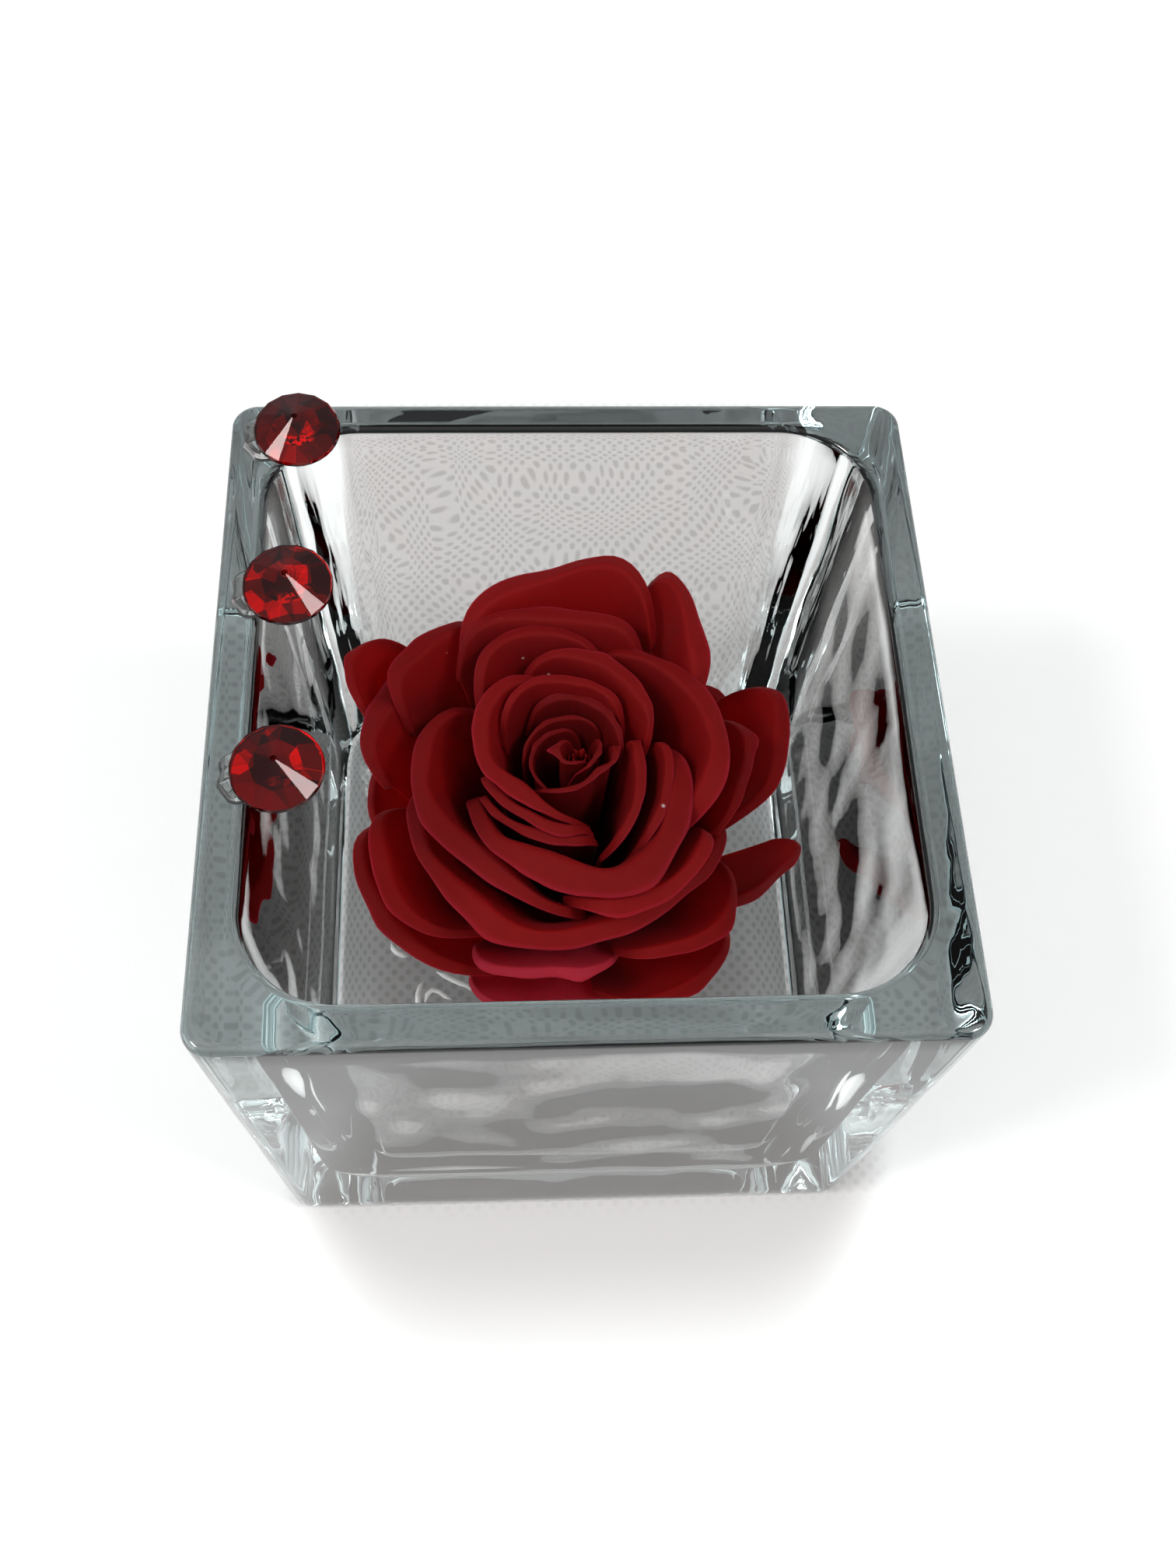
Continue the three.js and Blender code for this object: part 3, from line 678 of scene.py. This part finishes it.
def petal_material(name, reds):
    """Soft crimson with fine lengthwise veins, painted shade towards the claw, a painted pinkish highlight
    along the lip and a few grains of white dust.
    """
    painted_claw_shade, on_body, blush = reds
    shader = new_shader(name)
    on_map = shader.add("UVMap", {"uv_map": "petal"})
    up_petal = shader.part(on_map, "Y")
    place = shader.place()
    mottle = shader.add("TexNoise", None, Vector=place, Scale=420.0, Detail=4.0, Roughness=0.6)
    patch = shader.add("TexNoise", None, Vector=place, Scale=70.0, Detail=2.0)
    lengthwise = shader.add("Mapping", None, Vector=on_map, Scale=(60.0, 2.5, 1.0))
    veins = shader.add("TexNoise", None, Vector=lengthwise, Scale=1.0, Detail=3.0)
    # Painted shade: the petal darkens from its open body down towards the claw
    body = shader.mix(shader.ease(up_petal, (0.25, 0.9)), painted_claw_shade, on_body)
    streaked = shader.mix(0.6 * veins * mottle + 0.3 * patch, body, blush)
    # Painted highlight: a pinkish line along the lip's edge
    lip_highlighted = shader.mix(0.4 * shader.ease(up_petal, (0.93, 0.99)), streaked, LIP_HIGHLIGHT_PINK)
    grain = shader.add("TexVoronoi", {"feature": "F1"}, Vector=place, Scale=260.0)
    rare = shader.add("TexNoise", None, Vector=place, Scale=95.0)
    speck = shader.ramp(grain, (0.0, 0.08), 1.0, 0.0) * shader.ramp(rare, (0.57, 0.61))
    bump = shader.add("Bump", None, Strength=0.3, Distance=0.00016, Height=0.4 * veins + 0.6 * mottle)
    return shader.finish(
        Base_Color=shader.mix(speck, lip_highlighted, DUST_WHITE),
        Roughness=0.72,
        Specular_IOR_Level=0.1,
        Sheen_Weight=0.03,
        Sheen_Roughness=0.4,
        Sheen_Tint=(1.0, 0.10, 0.16),
        Subsurface_Weight=0.35,
        Subsurface_Radius=(0.003, 0.0003, 0.0003),
        Subsurface_Scale=1.0,
        Normal=bump,
    )


def hip_material():
    shader = new_shader("dried_hip")
    fibre = shader.add("TexNoise", None, Vector=shader.place(), Scale=300.0, Detail=4.0)
    colour = shader.mix(fibre, (0.10, 0.03, 0.015), (0.20, 0.06, 0.03))
    bump = shader.add("Bump", None, Strength=0.5, Distance=0.0003, Height=fibre)
    return shader.finish(Base_Color=colour, Roughness=0.8, Normal=bump)


def make_rose():
    velvet = petal_material("velvet_petal", VELVET_REDS)
    # Painted shade: the inner petals and the heart are a darker copy of the petal material
    deep = petal_material("inner_petal_painted_shade", SHADED_INNER_REDS)
    thin = petal_material("thin_petal", THIN_REDS)
    for order, petal in enumerate(PETALS):
        number = order + 1
        name = f"petal_{number:02d}"
        material = deep if number <= INNER_PETALS else thin if number in PALE_PETALS else velvet
        piece = new_piece(f"{name}_soft", fill_petal(petal, order), material, name)
        rounded = piece.modifiers.new("rounded", "SUBSURF")
        rounded.levels = rounded.render_levels = 1
    new_piece("rolled_heart", fill_heart, deep, "heart_bud")
    new_piece("dried_hip", fill_hip, hip_material(), "rose_hip")


def outer_width(height):
    return CUBE_BASE_WIDTH + (CUBE_TOP_WIDTH - CUBE_BASE_WIDTH) * height / CUBE_HEIGHT


def inner_width(height):
    share = (height - FLOOR_THICKNESS) / (CUBE_HEIGHT - FLOOR_THICKNESS)
    return outer_width(height) - 2 * (WALL_AT_FLOOR + (WALL_AT_RIM - WALL_AT_FLOOR) * share)


def square_ring(width, corner_radius, height, wave=0.0):
    """A level of the glass, seen from above: a square with round corners, its faces slightly wavy."""
    half = width / 2
    corner_radius = min(corner_radius, half * LARGEST_CORNER)
    straight = half - corner_radius
    ring = []
    for step in range(4 * QUARTER_STEPS):
        quarter, share = divmod(step / QUARTER_STEPS, 1)
        if share < ARC_FROM:
            x, y = half, straight * share / ARC_FROM
        elif share > 1 - ARC_FROM:
            x, y = straight * (1 - share) / ARC_FROM, half
        else:
            turn = (share - ARC_FROM) / (1 - 2 * ARC_FROM) * math.pi / 2
            x, y = straight + corner_radius * math.cos(turn), straight + corner_radius * math.sin(turn)
        near_corner = min(x, y) / half
        point = Vector((x, y, height))
        point.rotate(Matrix.Rotation(quarter * math.pi / 2, 3, "Z"))
        streak = noise.noise(Vector((point.x / STREAK_WIDTH, point.y / STREAK_WIDTH, height / SWELL_WIDTH)))
        swell = noise.noise(Vector((point.x / SWELL_WIDTH, point.y / SWELL_WIDTH, height / SWELL_WIDTH)))
        push = wave * (streak * (STREAK_ON_FLATS + near_corner**2) + SWELL_SHARE * swell)
        ring.append(point + Vector((point.x, point.y, 0)).normalized() * push)
    return ring


def lowered(ring, drop):
    """The ring sunk by the drop at the cube's back, by half of it at the sides, not at the front."""
    return [point - Vector((0, 0, drop * (0.5 + point.y / CUBE_TOP_WIDTH))) for point in ring]


def quarter_round(radius):
    """Steps over a round edge: how far it has gone from its first face, and has left to its second."""
    turns = [step / EDGE_STEPS * math.pi / 2 for step in range(EDGE_STEPS + 1)]
    return [(radius * (1 - math.cos(turn)), radius * (1 - math.sin(turn))) for turn in turns]


def outside_rings():
    """From the middle of the underside, up the outside, to the rim's outer edge."""
    rings = []
    for share in UNDERSIDE_SHARES:
        rings.append(square_ring((CUBE_BASE_WIDTH - 2 * BASE_EDGE_ROUND) * share, OUTER_CORNER_RADIUS, 0))
    for height, inset in quarter_round(BASE_EDGE_ROUND):
        corner = OUTER_CORNER_RADIUS - OUTER_CORNER_TIGHTENS * inset
        rings.append(square_ring(outer_width(height) - 2 * inset, corner, height))
    wall_top = CUBE_HEIGHT - RIM_SLOPE - RIM_EDGE_ROUND
    for step in range(1, WALL_LEVELS):
        height = BASE_EDGE_ROUND + (wall_top - BASE_EDGE_ROUND) * step / WALL_LEVELS
        rings.append(square_ring(outer_width(height), OUTER_CORNER_RADIUS, height, OUTER_WAVE))
    for inset, drop in quarter_round(RIM_EDGE_ROUND)[:-1]:
        height = CUBE_HEIGHT - drop
        corner = OUTER_CORNER_RADIUS - OUTER_CORNER_TIGHTENS * inset
        rings.append(lowered(square_ring(outer_width(height) - 2 * inset, corner, height), RIM_SLOPE))
    return rings


def rim_rings():
    """Over the rim's flat, from outside in."""
    rings = []
    for step in range(1, RIM_LEVELS):
        share = RIM_FLAT_FROM + RIM_FLAT_SHARE * step / RIM_LEVELS
        width = outer_width(CUBE_HEIGHT) * (1 - share) + inner_width(CUBE_HEIGHT) * share
        corner = OUTER_CORNER_RADIUS * (1 - share) + INNER_CORNER_RADIUS * share
        drop = RIM_SLOPE * (1 - share) ** RIM_SLOPE_BEND
        rings.append(lowered(square_ring(width, corner, CUBE_HEIGHT, RIM_WAVE), drop))
    return rings


def inside_rings():
    """From the rim's inner edge, down the inside, to the floor's middle."""
    rings = []
    for inset, drop in reversed(quarter_round(RIM_EDGE_ROUND)):
        height = CUBE_HEIGHT - drop
        rings.append(square_ring(inner_width(height) + 2 * inset, INNER_CORNER_RADIUS + inset, height))
    top, foot = CUBE_HEIGHT - RIM_EDGE_ROUND, FLOOR_THICKNESS + FLOOR_FILLET
    for step in range(1, WALL_LEVELS):
        height = top + (foot - top) * step / WALL_LEVELS
        rings.append(square_ring(inner_width(height), INNER_CORNER_RADIUS, height, INNER_WAVE))
    for inset, rise in quarter_round(FLOOR_FILLET):
        height = FLOOR_THICKNESS + rise
        corner = INNER_CORNER_RADIUS - FLOOR_CORNER_TIGHTENS * inset
        rings.append(square_ring(inner_width(height) - 2 * inset, corner, height))
    floor_width = inner_width(FLOOR_THICKNESS) - 2 * FLOOR_FILLET
    for share in FLOOR_SHARES:
        ring = square_ring(floor_width * share, FLOOR_CORNER_RADIUS, FLOOR_THICKNESS)
        for point in ring:
            point.z += FLOOR_WAVE * noise.noise(point / FLOOR_WAVE_WIDTH)
        rings.append(ring)
    return rings


def fill_glass(bm):
    stack_rings(bm, outside_rings() + rim_rings() + inside_rings())


def glass_material():
    """Clear pressed glass: refraction with faint green absorption and gently wavy faces."""
    shader = new_shader("pressed_glass")
    place = shader.place()
    wave = shader.add("TexNoise", None, Vector=place, Scale=70.0, Detail=1.5)
    fine = shader.add("TexNoise", None, Vector=place, Scale=420.0, Detail=1.0)
    from_middle = shader.add("Math", {"operation": "ABSOLUTE"}, shader.part(place, "X"))
    to_corner = shader.add("Math", {"operation": "MINIMUM"}, from_middle, shader.part(place, "Y"))
    corner = shader.ease(to_corner, CORNER_STREAKS_FROM)
    below_rim = shader.ease(shader.part(place, "Z"), STREAKS_END_UP, 1.0, 0.0)
    drawn = shader.add("Mapping", None, Vector=place, Scale=STREAK_STRETCH)
    streak = shader.add("TexNoise", None, Vector=drawn, Scale=380.0, Detail=2.0)
    relief = 0.6 * wave + 0.015 * fine + 2.2 * corner * below_rim * streak
    absorbed = shader.add("VolumeAbsorption", None, Color=ABSORBED_TINT, Density=ABSORPTION)
    shader.put(shader.nodes["Material Output"].inputs["Volume"], absorbed)
    return shader.finish(
        Base_Color=(1.0, 1.0, 1.0),
        Roughness=0.0,
        IOR=1.5,
        Transmission_Weight=1.0,
        Normal=shader.add("Bump", None, Strength=0.2, Distance=0.0004, Height=relief),
    )


def make_cube():
    new_piece("pressed_glass_cube", fill_glass, glass_material(), "glass_cube")


def fill_bead(bm):
    """The puddle of glue under the hip, lobed and low."""
    centre, radius, foot, height = measure("glue_bead")
    rings = []
    for share, lift in BEAD_PROFILE:
        rings.append(round_ring(radius * share, foot + height * lift, BEAD_CORNERS, BEAD_LOBES, centre))
    stack_rings(bm, rings)


def fill_thread(bm, points, thickness):
    """One thread of glue, round and narrower at its ends."""
    rings = []
    for step, point in enumerate(points):
        before = Vector(points[max(step - 1, 0)])
        after = Vector(points[min(step + 1, len(points) - 1)])
        along = (after - before).normalized()
        side = along.cross(Vector((0, 0, 1))).normalized()
        above = side.cross(along)
        end = THREAD_END if step in (0, len(points) - 1) else 1
        turns = [corner * 2 * math.pi / THREAD_CORNERS for corner in range(THREAD_CORNERS)]
        rings.append([
            Vector(point) + thickness * end * (side * math.cos(turn) + above * math.sin(turn))
            for turn in turns
        ])
    stack_rings(bm, rings)


def fill_threads(bm):
    """Threads of glue that ran out over the glass at the left front foot of the rose."""
    for points, thickness in GLUE_THREADS:
        thread = bmesh.new()
        fill_thread(thread, points, thickness)
        mesh = bpy.data.meshes.new("thread")
        thread.to_mesh(mesh)
        thread.free()
        bm.from_mesh(mesh)
        bpy.data.meshes.remove(mesh)


def fill_gem(node_name, levels, facet_turn):
    """Returns a function that makes a stone's clear faceted crown, or the foil just under it."""
    middle = measure(node_name)[0]
    centre = Vector((*middle, STONE_BASE))
    turned = Matrix.Rotation(facet_turn * 2 * math.pi / STONE_FACETS, 4, "Z")
    leaning = Matrix.Rotation(STONE_LEAN, 4, "X")

    def fill(bm):
        for radius, height, count, turn in levels:
            made = bmesh.ops.create_circle(bm, cap_ends=False, segments=count, radius=radius)
            place = Matrix.Translation((0, 0, height)) @ Matrix.Rotation(turn * 2 * math.pi / count, 4, "Z")
            bmesh.ops.transform(bm, matrix=place, verts=made["verts"])
        hull = bmesh.ops.convex_hull(bm, input=bm.verts)
        spare = [item for item in hull["geom_interior"] + hull["geom_unused"] if item.is_valid]
        bmesh.ops.delete(bm, geom=list(set(spare)), context="VERTS")
        bmesh.ops.dissolve_limit(bm, angle_limit=FACET_FLATNESS, verts=bm.verts, edges=bm.edges)
        bmesh.ops.transform(bm, matrix=Matrix.Translation(centre) @ (leaning @ turned), verts=bm.verts)
        bmesh.ops.recalc_face_normals(bm, faces=bm.faces)

    return fill


def fill_dab(node_name):
    """Returns a function that makes the drop of glue between the rim and a stone's leaning back."""
    centre, half_width, solid_foot, _ = measure(node_name)
    foot = solid_foot - DAB_SINK

    def fill(bm):
        rings = []
        for share, lift in DAB_PROFILE:
            ring = round_ring(DAB_SPREAD * half_width * share, foot, DAB_CORNERS, DAB_LOBES, centre)
            for point in ring:
                stone_back = STONE_BASE + STONE_SINK + (point.y - centre[1]) * math.tan(STONE_LEAN)
                point.z = foot + (stone_back - foot) * lift
            rings.append(ring)
        stack_rings(bm, rings)

    return fill


def glue_material():
    shader = new_shader("clear_glue")
    return shader.finish(Base_Color=(0.97, 0.96, 0.94), Roughness=0.04, IOR=1.48, Transmission_Weight=0.95)


def thread_material():
    """Glue that set in threads, with a wet gloss: whiter than the puddle, partly its own milky colour and
    partly a painted highlight.
    """
    shader = new_shader("set_glue")
    cloud = shader.add("TexNoise", None, Vector=shader.place(), Scale=900.0, Detail=2.0)
    # The near-opaque white is partly a painted highlight
    colour = shader.mix(cloud, (0.97, 0.96, 0.94), (0.80, 0.79, 0.77))
    return shader.finish(Base_Color=colour, Roughness=0.08, IOR=1.48, Transmission_Weight=0.05)


def crown_material():
    """The stone's body: deep red glass, more bending than the cube's."""
    shader = new_shader("red_crown")
    return shader.finish(
        Base_Color=(0.6, 0.004, 0.004),
        Roughness=0.0,
        IOR=1.6,
        Specular_Tint=(0.36, 0.29, 0.29),
        Transmission_Weight=1.0,
    )


def foil_material():
    """The mirror behind the stone: dark red, with some patches bright orange-red as painted flashes of
    light.
    """
    shader = new_shader("red_foil")
    cells = shader.add("TexVoronoi", {"feature": "F1"}, Vector=shader.place(), Scale=430.0, output="Color")
    # Painted reflection: random patches of the foil lit up as flashes
    painted_flash = shader.ramp(shader.part(cells, "X"), (0.66, 0.7))
    colour = shader.mix(painted_flash, (0.22, 0.001, 0.001), (1.0, 0.06, 0.02))
    return shader.finish(Base_Color=colour, Roughness=0.05, Metallic=1.0)


def make_stones():
    glue = glue_material()
    crown = crown_material()
    foil = foil_material()
    new_piece("glue_puddle", fill_bead, glue, "glue_bead")
    new_piece("glue_strings", fill_threads, thread_material())
    for number, turn in enumerate(STONE_TURNS, 1):
        stone = f"red_stone_{number}"
        dab = f"stone_glue_{number}"
        fill_crown = fill_gem(stone, CROWN_LEVELS, turn)
        fill_foil = fill_gem(stone, FOIL_LEVELS, turn)
        new_piece(f"{stone}_crown", fill_crown, crown, stone, smooth=False)
        new_piece(f"{stone}_foil", fill_foil, foil, smooth=False)
        new_piece(f"{dab}_drop", fill_dab(dab), glue, dab)


def aim_camera():
    down, turn, roll = CAMERA_DOWN, CAMERA_TO_RIGHT, CAMERA_ROLL
    ahead = Vector((math.sin(turn) * math.cos(down), math.cos(turn) * math.cos(down), -math.sin(down)))
    level = Vector((math.cos(turn), -math.sin(turn), 0))
    above = level.cross(ahead)
    right = level * math.cos(roll) + above * math.sin(roll)
    above = above * math.cos(roll) - level * math.sin(roll)
    data = bpy.data.cameras.new("photo_camera")
    data.lens = CAMERA_LENS
    data.sensor_width = CAMERA_SENSOR
    data.clip_start = CAMERA_SEES_FROM
    camera = bpy.data.objects.new("photo_camera", data)
    bpy.context.collection.objects.link(camera)
    turned = Matrix((right, above, -ahead)).transposed().to_4x4()
    camera.matrix_world = Matrix.Translation(CAMERA_PLACE * MM) @ turned
    bpy.context.scene.camera = camera


def hang_lamp(name, place, size, power, colour):
    data = bpy.data.lights.new(name, "AREA")
    data.shape = "RECTANGLE"
    data.size, data.size_y = size
    data.energy = power
    data.color = colour
    lamp = bpy.data.objects.new(name, data)
    bpy.context.collection.objects.link(lamp)
    lamp.location = place
    lamp.rotation_euler = (LAMPS_FACE - Vector(place)).to_track_quat("-Z", "Y").to_euler()


def light_scene():
    """A room that brightens overhead, with a darker stretch of ceiling, two lamps and a window."""
    room = Shader(bpy.data.worlds.new("studio"), "Background")
    direction = room.add("TexCoord", output="Generated")
    by_height = room.add("ValToRGB", {"stops": ROOM_BY_HEIGHT}, room.part(direction, "Z"))
    distance = room.add("VectorMath", {"operation": "DISTANCE"}, direction, DARK_CEILING_AT, output="Value")
    ceiling = room.add("ValToRGB", {"stops": DARK_CEILING}, distance)
    bpy.context.scene.world = room.finish(Color=room.mix(1.0, by_height, ceiling, "MULTIPLY"))
    for name, lamp in LAMPS.items():
        hang_lamp(name, *lamp)


def floor_material():
    """White card with a patch of warm grey, dotted cloth under and behind the cube, fading out round it as a
    painted contact shadow.
    """
    shader = new_shader("pale_floor")
    place = shader.place()
    along = shader.part(place, "Y")
    from_middle = along - CLOTH_MIDDLE[1]
    half_width = CLOTH_HALF_WIDTH + CLOTH_WIDENS * from_middle
    across = (shader.part(place, "X") - CLOTH_MIDDLE[0]) / half_width
    back = shader.add("Math", {"operation": "MAXIMUM"}, from_middle / CLOTH_HALF_DEPTH, 0.0)
    # Painted shadow: the patch fades out in front of the cube like a contact shadow
    front = shader.add("Math", {"operation": "MAXIMUM"}, (CLOTH_FRONT - along) / CLOTH_FRONT_SHADOW_FADE, 0.0)
    outside = shader.ease(across**CLOTH_SQUARENESS + back**CLOTH_SQUARENESS + front, CLOTH_EDGE)
    diagonal = shader.add("Mapping", None, Vector=place, Rotation=(0.0, 0.0, math.pi / 4))
    cell = shader.add("TexVoronoi", {"feature": "F1"}, Vector=diagonal, Scale=640.0, Randomness=0.12)
    dot = DOT_STRENGTH * shader.ease(cell, DOT_EDGE, 1.0, 0.0) * shader.ease(along, DOTS_BEHIND)
    return shader.finish(
        Base_Color=shader.mix(outside, shader.mix(dot, CLOTH_GREY, DOT_GREY), FLOOR_WHITE),
        Roughness=0.9,
        # Painted shade: the patch glows less than the card
        Emission_Color=shader.mix(outside, CLOTH_GLOW, FLOOR_WHITE),
        Emission_Strength=FLOOR_GLOW,
    )


def lay_floor():
    bm = bmesh.new()
    bmesh.ops.create_grid(bm, x_segments=1, y_segments=1, size=FLOOR_HALF_WIDTH)
    mesh = bpy.data.meshes.new("floor")
    bm.to_mesh(mesh)
    bm.free()
    mesh.materials.append(floor_material())
    floor = bpy.data.objects.new("floor", mesh)
    floor.location.z = -FLOOR_DROP
    bpy.context.collection.objects.link(floor)


aim_camera()
light_scene()
lay_floor()
make_rose()
make_cube()
make_stones()
bpy.context.scene.view_settings.view_transform = "Standard"
